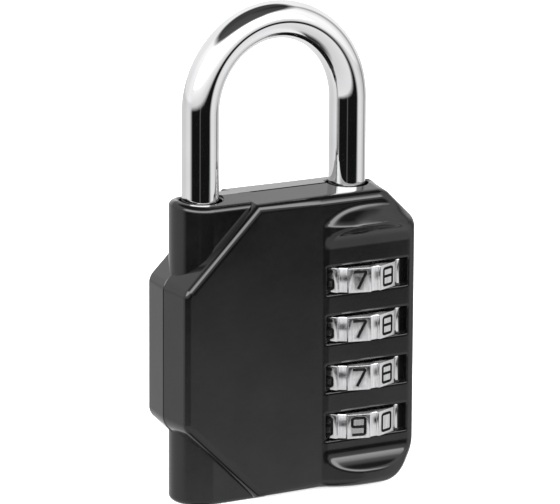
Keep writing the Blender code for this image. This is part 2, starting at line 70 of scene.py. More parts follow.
def softMin(a, b, width):
    return -softMax(-a, -b, width)


def facesOf(result):
    return [item for item in result["geom"] if isinstance(item, bmesh.types.BMFace)]


def vertsOf(result):
    return [item for item in result["geom"] if isinstance(item, bmesh.types.BMVert)]


def makeObject(name, bm, materials, sharpAngle=32, scale=mm):
    bmesh.ops.scale(bm, verts=bm.verts, vec=(scale,) * 3)
    mesh = bpy.data.meshes.new(name)
    bm.to_mesh(mesh)
    bm.free()
    mesh.shade_smooth()
    mesh.set_sharp_from_angle(angle=math.radians(sharpAngle))
    for material in materials:
        mesh.materials.append(material)
    obj = bpy.data.objects.new(name, mesh)
    bpy.context.scene.collection.objects.link(obj)
    return obj


def bakeModifiers(obj):
    graph = bpy.context.evaluated_depsgraph_get()
    graph.update()
    mesh = bpy.data.meshes.new_from_object(obj.evaluated_get(graph))
    old = obj.data
    obj.modifiers.clear()
    obj.data = mesh
    bpy.data.meshes.remove(old)


def cutWith(obj, other, operation="DIFFERENCE"):
    # joins or cuts with another object, which is used up
    mod = obj.modifiers.new("cut", "BOOLEAN")
    mod.operation = operation
    mod.solver = "EXACT"
    mod.object = other
    bakeModifiers(obj)
    bpy.data.objects.remove(other)


def addBox(bm, low, high):
    size = [b - a for a, b in zip(low, high)]
    middle = [(a + b) / 2 for a, b in zip(low, high)]
    place = Matrix.Translation(middle) @ Matrix.Diagonal((*size, 1))
    return bmesh.ops.create_cube(bm, size=1, matrix=place)["verts"]


def addRod(bm, center, radius, low, high, steps=48, axis="Z"):
    turn = {"Z": Matrix(), "Y": Matrix.Rotation(math.pi / 2, 4, "X")}[axis]
    middle = (low + high) / 2
    spot = {"Z": (center[0], center[1], middle), "Y": (center[0], middle, center[1])}[axis]
    return bmesh.ops.create_cone(bm, cap_ends=True, segments=steps, radius1=radius,
                                 radius2=radius, depth=high - low,
                                 matrix=Matrix.Translation(spot) @ turn)["verts"]


def spinProfile(bm, profile, center, steps=48):
    # turns (radius, height) points about a vertical axis
    verts = [bm.verts.new((center[0] + r, center[1], z)) for r, z in profile]
    edges = [bm.edges.new(pair) for pair in zip(verts, verts[1:])]
    if profile[0][0] > 0:
        edges.append(bm.edges.new((verts[-1], verts[0])))
    bmesh.ops.spin(bm, geom=verts + edges, cent=(*center, 0), axis=(0, 0, 1),
                   angle=math.tau, steps=steps, use_merge=True)
    bmesh.ops.remove_doubles(bm, verts=bm.verts, dist=0.0005)
    bmesh.ops.recalc_face_normals(bm, faces=bm.faces)


def roundCorner(bm, vert, offset, steps):
    bmesh.ops.bevel(bm, geom=[vert], offset=offset, offset_type="OFFSET", affect="VERTICES",
                    segments=steps, profile=0.5, material=-1, clamp_overlap=False)


def roundEdges(bm, edges, offset, steps):
    return bmesh.ops.bevel(bm, geom=edges, offset=offset, offset_type="OFFSET", affect="EDGES",
                           segments=steps, profile=0.5, material=-1, clamp_overlap=True)


def pullOut(bm, face, shift):
    # extrudes one face and returns the new verts
    tips = vertsOf(bmesh.ops.extrude_face_region(bm, geom=[face]))
    bmesh.ops.translate(bm, verts=tips, vec=shift)
    return tips


def newMaterial(name):
    material = bpy.data.materials.new(name)
    material.use_nodes = True
    tree = material.node_tree
    return material, tree, tree.nodes["Principled BSDF"]


def noiseNode(tree, size, detail=3.0, stretch=(1, 1, 1), rough=0.5):
    # noise whose features are about size millimetres across
    coords = tree.nodes.new("ShaderNodeTexCoord")
    place = tree.nodes.new("ShaderNodeMapping")
    place.inputs["Scale"].default_value = [s / (size * mm) for s in stretch]
    tree.links.new(coords.outputs["Object"], place.inputs["Vector"])
    noise = tree.nodes.new("ShaderNodeTexNoise")
    noise.inputs["Scale"].default_value = 1.0
    noise.inputs["Detail"].default_value = detail
    noise.inputs["Roughness"].default_value = rough
    tree.links.new(place.outputs["Vector"], noise.inputs["Vector"])
    return noise


def spread(tree, source, low, high, fromLow=0.3, fromHigh=0.7):
    # maps a 0-1 value to a range
    node = tree.nodes.new("ShaderNodeMapRange")
    node.inputs["From Min"].default_value = fromLow
    node.inputs["From Max"].default_value = fromHigh
    node.inputs["To Min"].default_value = low
    node.inputs["To Max"].default_value = high
    tree.links.new(source, node.inputs["Value"])
    return node.outputs["Result"]


def tint(tree, source, dark, light):
    node = tree.nodes.new("ShaderNodeMix")
    node.data_type = "RGBA"
    node.inputs["A"].default_value = (*dark, 1)
    node.inputs["B"].default_value = (*light, 1)
    tree.links.new(source, node.inputs["Factor"])
    return node.outputs["Result"]


def bumpFrom(tree, source, strength, height):
    node = tree.nodes.new("ShaderNodeBump")
    node.inputs["Strength"].default_value = strength
    node.inputs["Distance"].default_value = height * mm
    tree.links.new(source, node.inputs["Height"])
    return node.outputs["Normal"]


# sizes in millimetres
lacquerLook = {"dark": (0.0012, 0.0012, 0.0013), "light": (0.0035, 0.0035, 0.0037),
               "roughness": (0.06, 0.10), "cloudSize": 9, "speckSize": 1.6, "peelSize": 0.9,
               "peelHeight": 0.004}
chromeLook = {"color": (0.80, 0.80, 0.81), "roughness": (0.025, 0.05), "cloudShade": 0.94,
              "cloudSize": 6, "speckSize": 2.5, "hairSize": 0.5, "hairHeight": 0.0006}
wheelLook = {"dark": (0.60, 0.60, 0.61), "light": (0.78, 0.78, 0.79), "roughness": (0.10, 0.22),
             "streakSize": 0.35, "streakHeight": 0.006, "speckSize": 0.8}
inkLook = {"dark": (0.001, 0.001, 0.001), "light": (0.004, 0.004, 0.004),
           "roughness": (0.45, 0.65), "cloudSize": 0.5, "shine": 0.1}


def lacquerMaterial():
    material, tree, shader = newMaterial("blackLacquer")
    cloud = noiseNode(tree, lacquerLook["cloudSize"], detail=4)
    tree.links.new(tint(tree, spread(tree, cloud.outputs["Fac"], 0, 1), lacquerLook["dark"],
                        lacquerLook["light"]), shader.inputs["Base Color"])
    speck = noiseNode(tree, lacquerLook["speckSize"], detail=4)
    tree.links.new(spread(tree, speck.outputs["Fac"], *lacquerLook["roughness"]),
                   shader.inputs["Roughness"])
    peel = noiseNode(tree, lacquerLook["peelSize"], detail=2)
    tree.links.new(bumpFrom(tree, peel.outputs["Fac"], 0.5, lacquerLook["peelHeight"]),
                   shader.inputs["Normal"])
    shader.inputs["IOR"].default_value = 1.5
    return material


def chromeMaterial():
    material, tree, shader = newMaterial("polishedChrome")
    shader.inputs["Metallic"].default_value = 1.0
    cloud = noiseNode(tree, chromeLook["cloudSize"], detail=5)
    light = chromeLook["color"]
    dark = [part * chromeLook["cloudShade"] for part in light]
    tree.links.new(tint(tree, spread(tree, cloud.outputs["Fac"], 0, 1), dark, light),
                   shader.inputs["Base Color"])
    speck = noiseNode(tree, chromeLook["speckSize"], detail=5)
    tree.links.new(spread(tree, speck.outputs["Fac"], *chromeLook["roughness"]),
                   shader.inputs["Roughness"])
    # fine polishing lines along the bar
    hair = noiseNode(tree, chromeLook["hairSize"], detail=2, stretch=(1, 1, 0.08))
    tree.links.new(bumpFrom(tree, hair.outputs["Fac"], 0.12, chromeLook["hairHeight"]),
                   shader.inputs["Normal"])
    return material


def wheelMaterial():
    material, tree, shader = newMaterial("wheelChrome")
    shader.inputs["Metallic"].default_value = 1.0
    streak = noiseNode(tree, wheelLook["streakSize"], detail=4, stretch=(1, 1, 0.12), rough=0.6)
    tree.links.new(tint(tree, spread(tree, streak.outputs["Fac"], 0, 1), wheelLook["dark"],
                        wheelLook["light"]), shader.inputs["Base Color"])
    speck = noiseNode(tree, wheelLook["speckSize"], detail=4)
    tree.links.new(spread(tree, speck.outputs["Fac"], *wheelLook["roughness"]),
                   shader.inputs["Roughness"])
    tree.links.new(bumpFrom(tree, streak.outputs["Fac"], 0.35, wheelLook["streakHeight"]),
                   shader.inputs["Normal"])
    return material


def inkMaterial():
    material, tree, shader = newMaterial("numberInk")
    cloud = noiseNode(tree, inkLook["cloudSize"])
    tree.links.new(tint(tree, cloud.outputs["Fac"], inkLook["dark"], inkLook["light"]),
                   shader.inputs["Base Color"])
    tree.links.new(spread(tree, cloud.outputs["Fac"], *inkLook["roughness"]),
                   shader.inputs["Roughness"])
    shader.inputs["Specular IOR Level"].default_value = inkLook["shine"]
    return material


def metalMaterial(name, dark, light, roughness, patch=3, grain=0.4):
    # turned or rolled metal for the inner parts
    material, tree, shader = newMaterial(name)
    shader.inputs["Metallic"].default_value = 1.0
    cloud = noiseNode(tree, patch, detail=4)
    tree.links.new(tint(tree, spread(tree, cloud.outputs["Fac"], 0, 1), dark, light),
                   shader.inputs["Base Color"])
    lines = noiseNode(tree, grain, detail=3, stretch=(0.3, 0.3, 1))
    tree.links.new(spread(tree, lines.outputs["Fac"], *roughness), shader.inputs["Roughness"])
    tree.links.new(bumpFrom(tree, lines.outputs["Fac"], 0.3, 0.01), shader.inputs["Normal"])
    return material


caseHigh = boxMm("front_case")[1]
rings = [boxMm(f"dial_ring_{number}") for number in (1, 2, 3, 4)]
dialX = (rings[0][0].x + rings[0][1].x) / 2
dialHeights = [(low.z + high.z) / 2 for low, high in rings]
halfWidth = caseHigh.x
bodyTop = caseHigh.z
shackleLow, shackleHigh = boxMm("shackle")
legRadius = (shackleHigh.y - shackleLow.y) / 2
heelX = shackleLow.x + legRadius
toeX = shackleHigh.x - legRadius

caseShape = {
    "plateFace": 6.6, "draft": 0.58, "seamGap": 0.008, "columnProud": 0.006, "seamRound": 0.3,
    "leftChamfer": 13.3, "rightChamfer": 6.0, "lowerRadius": 7.0,
    "leftFillet": 0.8, "rightFillet": 1.5,
    "leftCorner": 1.1, "rightCorner": 1.3, "filletBlend": (-11, -5),
    "filletRings": (0.03, 0.12, 0.27, 0.48, 0.75, 1.1, 1.5),
    "columnRadius": 5.0, "columnRound": 0.9, "columnInner": -5.2, "columnSink": 0.02,
}
boreShape = {"radius": 3.4, "lip": 0.35, "heelFoot": 3.5, "heelRadius": 4.2, "heelStop": 30.8,
             "toeFoot": 40.4, "pastTop": 2.0}
wellShape = {"foot": 1.5, "pinRadius": 1.95, "seat": 3.7, "radius": 5.2, "top": 37.4}
roomShape = {"gap": 0.3, "left": -8.6, "right": 19.0, "step": 42.8, "stepX": 10.6,
             "core": ((-6.2, -4.8, 11.5), (-0.4, 4.8, 34.5)),
             "detent": ((0.9, -2.4, 8.2), (6.9, 2.4, 37.0))}
bossShape = {
    "middle": 12.0, "halfWidth": 7.7, "rise": 2.08, "power": 2.6,
    "browStart": 43.9, "browSlope": 0.62, "browCurve": 0.07,
    "channelTop": 40.1, "topScoop": 4.2, "topSteep": 1.0,
    "channelFoot": 7.1, "footScoop": 4.2, "footSteep": 1.1,
    "rimSoft": 0.35, "creaseSoft": 0.5, "reach": 1.5,
}
# where the front skin is cut into a fine grid, and how fine
gridShape = {"reach": 1.2, "fine": 0.16, "coarse": 0.8, "across": 0.24, "clear": 0.4,
             "low": 0.9, "footEnd": 7.4, "browEnd": 38.6, "browStart": 38.7,
             "edge": 0.25, "topEdge": 0.7, "rightEdge": 0.8}
windowShape = {"middle": 11.7, "halfWidth": 7.36, "height": 4.6, "rim": 0.16, "depth": 1.3,
               "margin": 0.45, "slotRadius": 9.2, "slotHeight": 4.86}


def filletRadius(x):
    return caseShape["leftFillet"] + (caseShape["rightFillet"] - caseShape["leftFillet"]) \
        * smooth(*caseShape["filletBlend"], x)


def filletDrop(distance, radius):
    if distance >= radius:
        return 0.0
    return radius - math.sqrt(max(0.0, radius ** 2 - (radius - distance) ** 2))


def bossHeight(x, z):
    across = abs(x - bossShape["middle"]) / bossShape["halfWidth"]
    height = bossShape["rise"] * (1 - across ** bossShape["power"])
    over = max(0.0, z - bossShape["browStart"])
    return height - bossShape["browSlope"] * over - bossShape["browCurve"] * over ** 2


def scoopHeight(z):
    # the flat channel curls up at both ends: an arc, then straight
    if z > bossShape["channelTop"]:
        over, end = z - bossShape["channelTop"], "top"
    else:
        over, end = max(0.0, bossShape["channelFoot"] - z), "foot"
    radius, steep = bossShape[end + "Scoop"], bossShape[end + "Steep"]
    bend = radius * math.sin(math.atan(steep))
    arc = radius - math.sqrt(radius ** 2 - min(over, bend) ** 2)
    return arc + steep * max(0.0, over - bend)


def frontHeight(x, z, distance):
    # how far the front skin stands from the seam plane
    face = caseShape["plateFace"]
    drop = filletDrop(distance, filletRadius(x))
    if x < bossShape["middle"] - bossShape["halfWidth"] - bossShape["reach"]:
        return face - drop
    boss = softMin(bossHeight(x, z), scoopHeight(z), bossShape["rimSoft"])
    return face - drop + softMax(0.0, boss, bossShape["creaseSoft"])


def spaced(low, high, step, keepOut):
    # even cut lines that stay clear of some places
    count = max(1, round((high - low) / step))
    places = [low + (high - low) * i / count for i in range(count + 1)]
    return [p for p in places if all(abs(p - k) > gridShape["clear"] for k in keepOut)]


def cutAcross(bm, faces, normal, places):
    for place in sorted(places):
        geom = set(faces)
        for face in faces:
            geom.update(face.edges)
            geom.update(face.verts)
        cut = bmesh.ops.bisect_plane(bm, geom=list(geom), plane_co=normal * place,
                                     plane_no=normal)
        faces = [f for f in facesOf(cut) if f.calc_center_median().dot(normal) > place]


def plateMesh():
    bm = bmesh.new()
    left, right = caseShape["leftChamfer"], caseShape["rightChamfer"]
    outline = [(-halfWidth + left, 0), (halfWidth, 0), (halfWidth, bodyTop - right),
               (halfWidth - right, bodyTop), (-halfWidth + left, bodyTop),
               (-halfWidth, bodyTop - left), (-halfWidth, left)]
    corners = [bm.verts.new((x, -caseShape["seamGap"], z)) for x, z in outline]
    bm.faces.new(corners)
    # the two inner ends of the left chamfers stay sharp
    sharp, lower = (0, 0), (caseShape["lowerRadius"], 16)
    outer, inner = (caseShape["rightCorner"], 5), (caseShape["leftCorner"], 5)
    roundings = [sharp, lower, outer, outer, sharp, inner, inner]
    for vert, (offset, steps) in zip(corners, roundings):
        if steps:
            roundCorner(bm, vert, offset, steps)
    front = bm.faces[:][0]
    # seam edge and wall, then rings of faces that become the rounded front edge
    seam = caseShape["seamRound"]
    bevel = seam * 0.3
    bmesh.ops.inset_region(bm, faces=[front], thickness=bevel, depth=bevel,
                           use_even_offset=True, use_boundary=True)
    shoulder = caseShape["plateFace"] - caseShape["rightFillet"]
    bmesh.ops.inset_region(bm, faces=[front], thickness=caseShape["draft"] - bevel,
                           depth=shoulder - seam, use_even_offset=True)
    layer = bm.verts.layers.float.new("distance")
    for vert in bm.verts:
        vert[layer] = -1.0
    for face in bm.faces:
        face.material_index = 0
    before = 0.0
    for distance in caseShape["filletRings"]:
        strip = bmesh.ops.inset_region(bm, faces=[front], thickness=distance - before,
                                       use_even_offset=True)["faces"]
        within = set(front.verts)
        for face in strip:
            face.material_index = 1
            for vert in face.verts:
                vert[layer] = distance if vert in within else before
        before = distance
    front.material_index = 1
    return bm, layer


def gridFront(bm):
    across, up = Vector((1, 0, 0)), Vector((0, 0, 1))
    grid = gridShape
    start = bossShape["middle"] - bossShape["halfWidth"] - grid["reach"]
    cutAcross(bm, [f for f in bm.faces if f.material_index == 1], across, [start])
    windowX = [windowShape["middle"] + side * windowShape["halfWidth"] for side in (-1, 1)]
    windowZ = [z + side * windowShape["height"] / 2 for z in dialHeights for side in (-1, 1)]

    def right():
        return [f for f in bm.faces if f.material_index == 1
                and f.calc_center_median().x > start]
    zPlaces = spaced(grid["low"], grid["footEnd"], grid["fine"], windowZ) \
        + spaced(grid["footEnd"], grid["browEnd"], grid["coarse"], windowZ) \
        + spaced(grid["browStart"], bodyTop - grid["topEdge"], grid["fine"], windowZ) + windowZ \
        + [z + side * windowShape["margin"] for z in windowZ for side in (-1, 1)]
    cutAcross(bm, right(), up, sorted(set(round(z, 4) for z in zPlaces)))
    xPlaces = spaced(start + grid["edge"], halfWidth - grid["rightEdge"], grid["across"], windowX) \
        + windowX + [x + side * windowShape["margin"] for x in windowX for side in (-1, 1)]
    cutAcross(bm, right(), across, sorted(set(round(x, 4) for x in xPlaces)))


def insideWindow(face):
    middle = face.calc_center_median()
    return abs(middle.x - windowShape["middle"]) < windowShape["halfWidth"] and any(
        abs(middle.z - z) < windowShape["height"] / 2 for z in dialHeights)


def openWindows(bm):
    # blind pockets with rounded rims; the round slots are cut through them later
    for height in dialHeights:
        faces = [f for f in bm.faces if f.material_index == 1 and insideWindow(f)
                 and abs(f.calc_center_median().z - height) < windowShape["height"] / 2]
        floor = bmesh.ops.dissolve_faces(bm, faces=faces, use_verts=False)["region"][0]
        rim = list(floor.edges)
        pullOut(bm, floor, (0, windowShape["depth"], 0))
        bmesh.ops.delete(bm, geom=[floor], context="FACES_ONLY")
        roundEdges(bm, rim, windowShape["rim"], 3)


def columnMesh():
    bm = bmesh.new()
    radius, gap = caseShape["columnRadius"], caseShape["seamGap"] - caseShape["columnProud"]
    outline = [(caseShape["columnInner"], -gap), (heelX - radius, -gap),
               (heelX - radius, -radius), (caseShape["columnInner"], -radius)]
    sink = caseShape["columnSink"]
    corners = [bm.verts.new((x, y, sink)) for x, y in outline]
    bm.faces.new(corners)
    roundCorner(bm, corners[2], radius - gap, 28)
    bmesh.ops.remove_doubles(bm, verts=bm.verts, dist=0.01)
    tips = pullOut(bm, bm.faces[:][0], (0, 0, bodyTop - 2 * sink))
    slope = caseShape["draft"] / (caseShape["plateFace"] - caseShape["rightFillet"])
    for vert in tips:
        vert.co.z += slope * (vert.co.y + gap)
    bmesh.ops.recalc_face_normals(bm, faces=bm.faces)
    # round the top and bottom outlines, apart from their seam side
    ends = [e for e in bm.edges if any(abs(f.normal.z) > 0.9 for f in e.link_faces)
            and not all(abs(v.co.y + gap) < 0.001 for v in e.verts)]
    roundEdges(bm, ends, caseShape["columnRound"], 6)
    return bm


def slotCutter():
    bm = bmesh.new()
    depth = caseShape["plateFace"] - windowShape["depth"] + 0.08
    for height in dialHeights:
        addRod(bm, (dialX, 0), windowShape["slotRadius"], height - windowShape["slotHeight"] / 2,
               height + windowShape["slotHeight"] / 2, 72)
    geom = bm.verts[:] + bm.edges[:] + bm.faces[:]
    bmesh.ops.bisect_plane(bm, geom=geom, plane_co=(0, -depth, 0), plane_no=(0, -1, 0),
                           clear_outer=True)
    bmesh.ops.holes_fill(bm, edges=[e for e in bm.edges if e.is_boundary])
    bmesh.ops.recalc_face_normals(bm, faces=bm.faces)
    return makeObject("slotCutter", bm, [])


def boreCutter():
    # a wide well for the heel spring and its clip, and a close bore with a flared lip per leg
    bm = bmesh.new()
    radius, lip = boreShape["radius"], boreShape["lip"]
    lipFoot = bodyTop - 2 * lip
    wide, stop, foot = boreShape["heelRadius"], boreShape["heelStop"], boreShape["heelFoot"]
    past = bodyTop + boreShape["pastTop"]
    mouth = [(radius + lip * 0.3, lipFoot + lip * 0.7), (radius + lip, lipFoot + lip),
             (radius + 2 * lip, past), (0, past)]
    spinProfile(bm, [(0, foot), (wide, foot), (wide, stop), (radius, stop), (radius, lipFoot),
                     *mouth], (heelX, 0), 64)
    toeFoot = boreShape["toeFoot"]
    spinProfile(bm, [(0, toeFoot), (radius, toeFoot), (radius, lipFoot), *mouth], (toeX, 0), 64)
    return makeObject("boreCutter", bm, [])


def wellCutter():
    # the round room of the dial stack, with a guide hole for the spindle under it
    bm = bmesh.new()
    foot, seat, top = wellShape["foot"], wellShape["seat"], wellShape["top"]
    pin, hub = wellShape["pinRadius"], wellShape["radius"]
    spinProfile(bm, [(0, foot), (pin, foot), (pin, seat), (hub, seat), (hub, top), (0, top)],
                (dialX, 0))
    return makeObject("wellCutter", bm, [])


def roomCutter():
    # latch pocket, weight-saving core, detent recess and blind pin holes
    bm = bmesh.new()
    latchLow, latchHigh = boxMm("latch")
    gap, left, right = roomShape["gap"], roomShape["left"], roomShape["right"]
    floor, roof = latchLow.z - gap, latchHigh.z + gap
    step, stepX = roomShape["step"], roomShape["stepX"]
    outline = [(left, floor), (right, floor), (right, step), (stepX, step), (stepX, roof),
               (left, roof)]
    half = latchHigh.y + gap
    face = bm.faces.new([bm.verts.new((x, -half, z)) for x, z in outline])
    pullOut(bm, face, (0, 2 * half, 0))
    addBox(bm, *roomShape["core"])
    addBox(bm, *roomShape["detent"])
    for number in (1, 2, 3, 4):
        low, high = boxMm(f"case_pin_{number}")
        center = ((low.x + high.x) / 2, (low.z + high.z) / 2)
        addRod(bm, center, (high.x - low.x) / 2 + gap, low.y - gap, high.y + gap, 24, "Y")
    bmesh.ops.recalc_face_normals(bm, faces=bm.faces)
    return makeObject("roomCutter", bm, [])


def buildCase(lacquer):
    bm, layer = plateMesh()
    gridFront(bm)
    for vert in bm.verts:
        if any(face.material_index == 1 for face in vert.link_faces):
            vert.co.y = -frontHeight(vert.co.x, vert.co.z, max(vert[layer], 0.0))
    openWindows(bm)
    for face in bm.faces:
        face.material_index = 0
    bmesh.ops.remove_doubles(bm, verts=bm.verts, dist=0.004)
    bmesh.ops.dissolve_degenerate(bm, edges=bm.edges, dist=0.002)
    bmesh.ops.holes_fill(bm, edges=[e for e in bm.edges if e.is_boundary])
    bmesh.ops.recalc_face_normals(bm, faces=bm.faces)
    half = makeObject("frontShell", bm, [lacquer])
    cutWith(half, makeObject("column", columnMesh(), [lacquer]), "UNION")
    for cutter in (boreCutter(), wellCutter(), slotCutter(), roomCutter()):
        cutWith(half, cutter)
    print("case front:", len(half.data.polygons), "faces")
    back = bmesh.new()
    back.from_mesh(half.data)
    bmesh.ops.scale(back, verts=back.verts, vec=(1, -1, 1))
    bmesh.ops.reverse_faces(back, faces=back.faces)
    rear = makeObject("rearShell", back, [lacquer], scale=1)
    for obj, node in ((half, "front_case"), (rear, "rear_case")):
        obj.data.shade_smooth()
        obj.data.set_sharp_from_angle(angle=math.radians(32))
        weighted = obj.modifiers.new("evenShading", "WEIGHTED_NORMAL")
        weighted.keep_sharp = True
        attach(obj, "case")
        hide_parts(node)


shackleShape = {"heelEnd": 12.0, "toeEnd": 41.0, "archBase": bodyTop + 13.5, "handle": 0.5523,
                "bevelSteps": 14, "curveSteps": 40, "endRound": 0.5, "straight": 3,
                "notch": {"flankStart": 8.21, "flankSlope": 0.6, "outer": 7.5, "wall": 10.55,
                          "foot": 42.0, "top": 46.95, "halfDepth": 5},
                "groove": {"core": 2.2, "past": 4, "play": 0.3}}


def shackleCurve():
    curve = bpy.data.curves.new("shackleBar", "CURVE")
    curve.dimensions = "3D"
    curve.bevel_depth = legRadius
    curve.bevel_resolution = shackleShape["bevelSteps"]
    curve.resolution_u = shackleShape["curveSteps"]
    curve.render_resolution_u = shackleShape["curveSteps"]
    curve.use_fill_caps = True
    base, middle = shackleShape["archBase"], (heelX + toeX) / 2
    crown = shackleHigh.z - legRadius
    reach = (toeX - heelX) / 2 * shackleShape["handle"]
    climb = (crown - base) * shackleShape["handle"]
    spline = curve.splines.new("BEZIER")
    straight = shackleShape["straight"]
    stops = [((heelX, shackleShape["heelEnd"]), (0, -straight), (0, straight)),
             ((heelX, base), (0, -climb), (0, climb)),
             ((middle, crown), (-reach, 0), (reach, 0)),
             ((toeX, base), (0, climb), (0, -climb)),
             ((toeX, shackleShape["toeEnd"]), (0, straight), (0, -straight))]
    spline.bezier_points.add(len(stops) - 1)
    for point, ((x, z), before, after) in zip(spline.bezier_points, stops):
        point.handle_left_type = point.handle_right_type = "FREE"
        point.co = (x, 0, z)
        point.handle_left = (x + before[0], 0, z + before[1])
        point.handle_right = (x + after[0], 0, z + after[1])
    obj = bpy.data.objects.new("shackleBar", curve)
    bpy.context.scene.collection.objects.link(obj)
    return obj


def buildShackle(chrome):
    path = shackleCurve()
    graph = bpy.context.evaluated_depsgraph_get()
    graph.update()
    bm = bmesh.new()
    bm.from_mesh(bpy.data.meshes.new_from_object(path.evaluated_get(graph)))
    bpy.data.objects.remove(path)
    bmesh.ops.remove_doubles(bm, verts=bm.verts, dist=0.001)
    bmesh.ops.recalc_face_normals(bm, faces=bm.faces)
    rims = [e for e in bm.edges if len(e.link_faces) == 2
            and any(len(f.verts) > 8 for f in e.link_faces)]
    roundEdges(bm, rims, shackleShape["endRound"], 4)
    bar = makeObject("shackleBow", bm, [chrome])
    notch, cut = shackleShape["notch"], bmesh.new()
    flank = [(x, notch["foot"] + (x - notch["flankStart"]) / notch["flankSlope"])
             for x in (notch["outer"], notch["wall"])]
    outline = [*flank, (notch["wall"], notch["top"]), (notch["outer"], notch["top"])]
    deep = notch["halfDepth"]
    pullOut(cut, cut.faces.new([cut.verts.new((x, -deep, z)) for x, z in outline]),
            (0, 2 * deep, 0))
    bmesh.ops.recalc_face_normals(cut, faces=cut.faces)
    cutWith(bar, makeObject("notchCutter", cut, []))
    groove, cut = shackleShape["groove"], bmesh.new()
    clipLow, clipHigh = boxMm("heel_clip")
    low, high = clipLow.z - groove["play"], clipHigh.z + groove["play"]
    spinProfile(cut, [(groove["core"], low), (groove["past"], low), (groove["past"], high),
                      (groove["core"], high)], (heelX, 0))
    cutWith(bar, makeObject("grooveCutter", cut, []))
    bar.data.shade_smooth()
    bar.data.set_sharp_from_angle(angle=math.radians(32))
    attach(bar, "shackle")
    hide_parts("shackle")
    print("shackle:", len(bar.data.polygons), "faces")


# facets and grooves are half widths in degrees; strokeOut is how far the middle of a stroke
# stands out of its facet
wheelShape = {"facets": 10, "radius": 8.8, "grooveRadius": 8.42, "facetHalf": 12.4,
              "grooveHalf": 4.4, "bore": 4.6, "edge": 0.14, "corner": 0.07,
              "phase": 4.0, "reading": (7, 7, 7, 9), "sharpAngle": 25,
              "digitTall": 2.75, "digitWide": 2.15, "stroke": 0.26, "strokeOut": 0.07}
digitStep = 360 / wheelShape["facets"]

# strokes of each digit on a grid 2 wide and 4 tall, rounded where a corner is met
digitStrokes = {
    0: [[(1, 0), (2, 0), (2, 4), (0, 4), (0, 0), (1.1, 0)]],
    1: [[(0.4, 3.3), (1.1, 4), (1.1, 0)]],
    2: [[(0, 4), (2, 4), (2, 2.1), (0, 1.9), (0, 0), (2, 0)]],
    3: [[(0, 4), (2, 4), (2, 0), (0, 0)], [(0.5, 2), (2, 2)]],
    4: [[(1.5, 0), (1.5, 4), (0, 1.2), (2, 1.2)]],
    5: [[(2, 4), (0, 4), (0, 2.2), (2, 2.2), (2, 0), (0, 0)]],
    6: [[(2, 4), (0, 4), (0, 0), (2, 0), (2, 2.1), (0, 2.1)]],
    7: [[(0, 4), (2, 4), (0.7, 0)]],
    8: [[(0, 0), (2, 0), (2, 4), (0, 4), (0, 0)], [(0, 2.1), (2, 2.1)]],
    9: [[(0, 0), (2, 0), (2, 4), (0, 4), (0, 1.9), (2, 1.9)]],
}


def roundedPath(points, radius=0.42):
    # replaces every inner corner with a short arc
    closed = points[0] == points[-1]
    run = points[:-1] if closed else points
    result = [] if closed else [run[0]]
    indices = range(len(run)) if closed else range(1, len(run) - 1)
    for i in indices:
        before, here, after = (Vector(run[(i + k) % len(run)]) for k in (-1, 0, 1))
        toBefore = (before - here).normalized() * radius
        toAfter = (after - here).normalized() * radius
        for t in (0.0, 0.25, 0.5, 0.75, 1.0):
            result.append(tuple(here + toBefore * (1 - t) ** 2 + toAfter * t ** 2))
    if not closed:
        result.append(run[-1])
    return result, closed


def digitCutter(digit):
    # round-ended strokes laid on the facet in front, before the digit is turned to its place
    curve = bpy.data.curves.new("digit", "CURVE")
    curve.dimensions = "3D"
    curve.bevel_depth = wheelShape["stroke"]
    curve.bevel_resolution = 2
    curve.use_fill_caps = True
    width, tall = wheelShape["digitWide"], wheelShape["digitTall"]
    for stroke in digitStrokes[digit]:
        path, closed = roundedPath(stroke)
        spline = curve.splines.new("POLY")
        spline.points.add(len(path) - 1)
        spline.use_cyclic_u = closed
        for point, (x, z) in zip(spline.points, path):
            point.co = ((x / 2 - 0.5) * width, 0, (z / 4 - 0.5) * tall, 1)
    obj = bpy.data.objects.new("digit", curve)
    bpy.context.scene.collection.objects.link(obj)
    return obj


def wheelMesh(chrome, ink):
    bm = bmesh.new()
    points = []
    for facet in range(wheelShape["facets"]):
        front = -90 + facet * digitStep
        groove = digitStep / 2
        for offset, radius in (
                (-wheelShape["facetHalf"], wheelShape["radius"]),
                (wheelShape["facetHalf"], wheelShape["radius"]),
                (groove - wheelShape["grooveHalf"], wheelShape["grooveRadius"]),
                (groove + wheelShape["grooveHalf"], wheelShape["grooveRadius"])):
            turn = math.radians(front + offset)
            points.append((radius * math.cos(turn), radius * math.sin(turn)))
    low, high = rings[0]
    tall = high.z - low.z
    face = bm.faces.new([bm.verts.new((x, y, -tall / 2)) for x, y in points])
    pullOut(bm, face, (0, 0, tall))
    bmesh.ops.recalc_face_normals(bm, faces=bm.faces)
    rims = [e for e in bm.edges if sum(abs(f.normal.z) > 0.9 for f in e.link_faces) == 1]
    roundEdges(bm, rims, wheelShape["edge"], 3)
    uprights = [e for e in bm.edges if abs(e.verts[0].co.z - e.verts[1].co.z) > tall * 0.8]
    roundEdges(bm, uprights, wheelShape["corner"], 2)
    wheel = makeObject("wheel", bm, [chrome, ink], wheelShape["sharpAngle"])
    bore = bmesh.new()
    addRod(bore, (0, 0), wheelShape["bore"], -tall, tall, 60)
    cutWith(wheel, makeObject("wheelBore", bore, []))
    return wheel


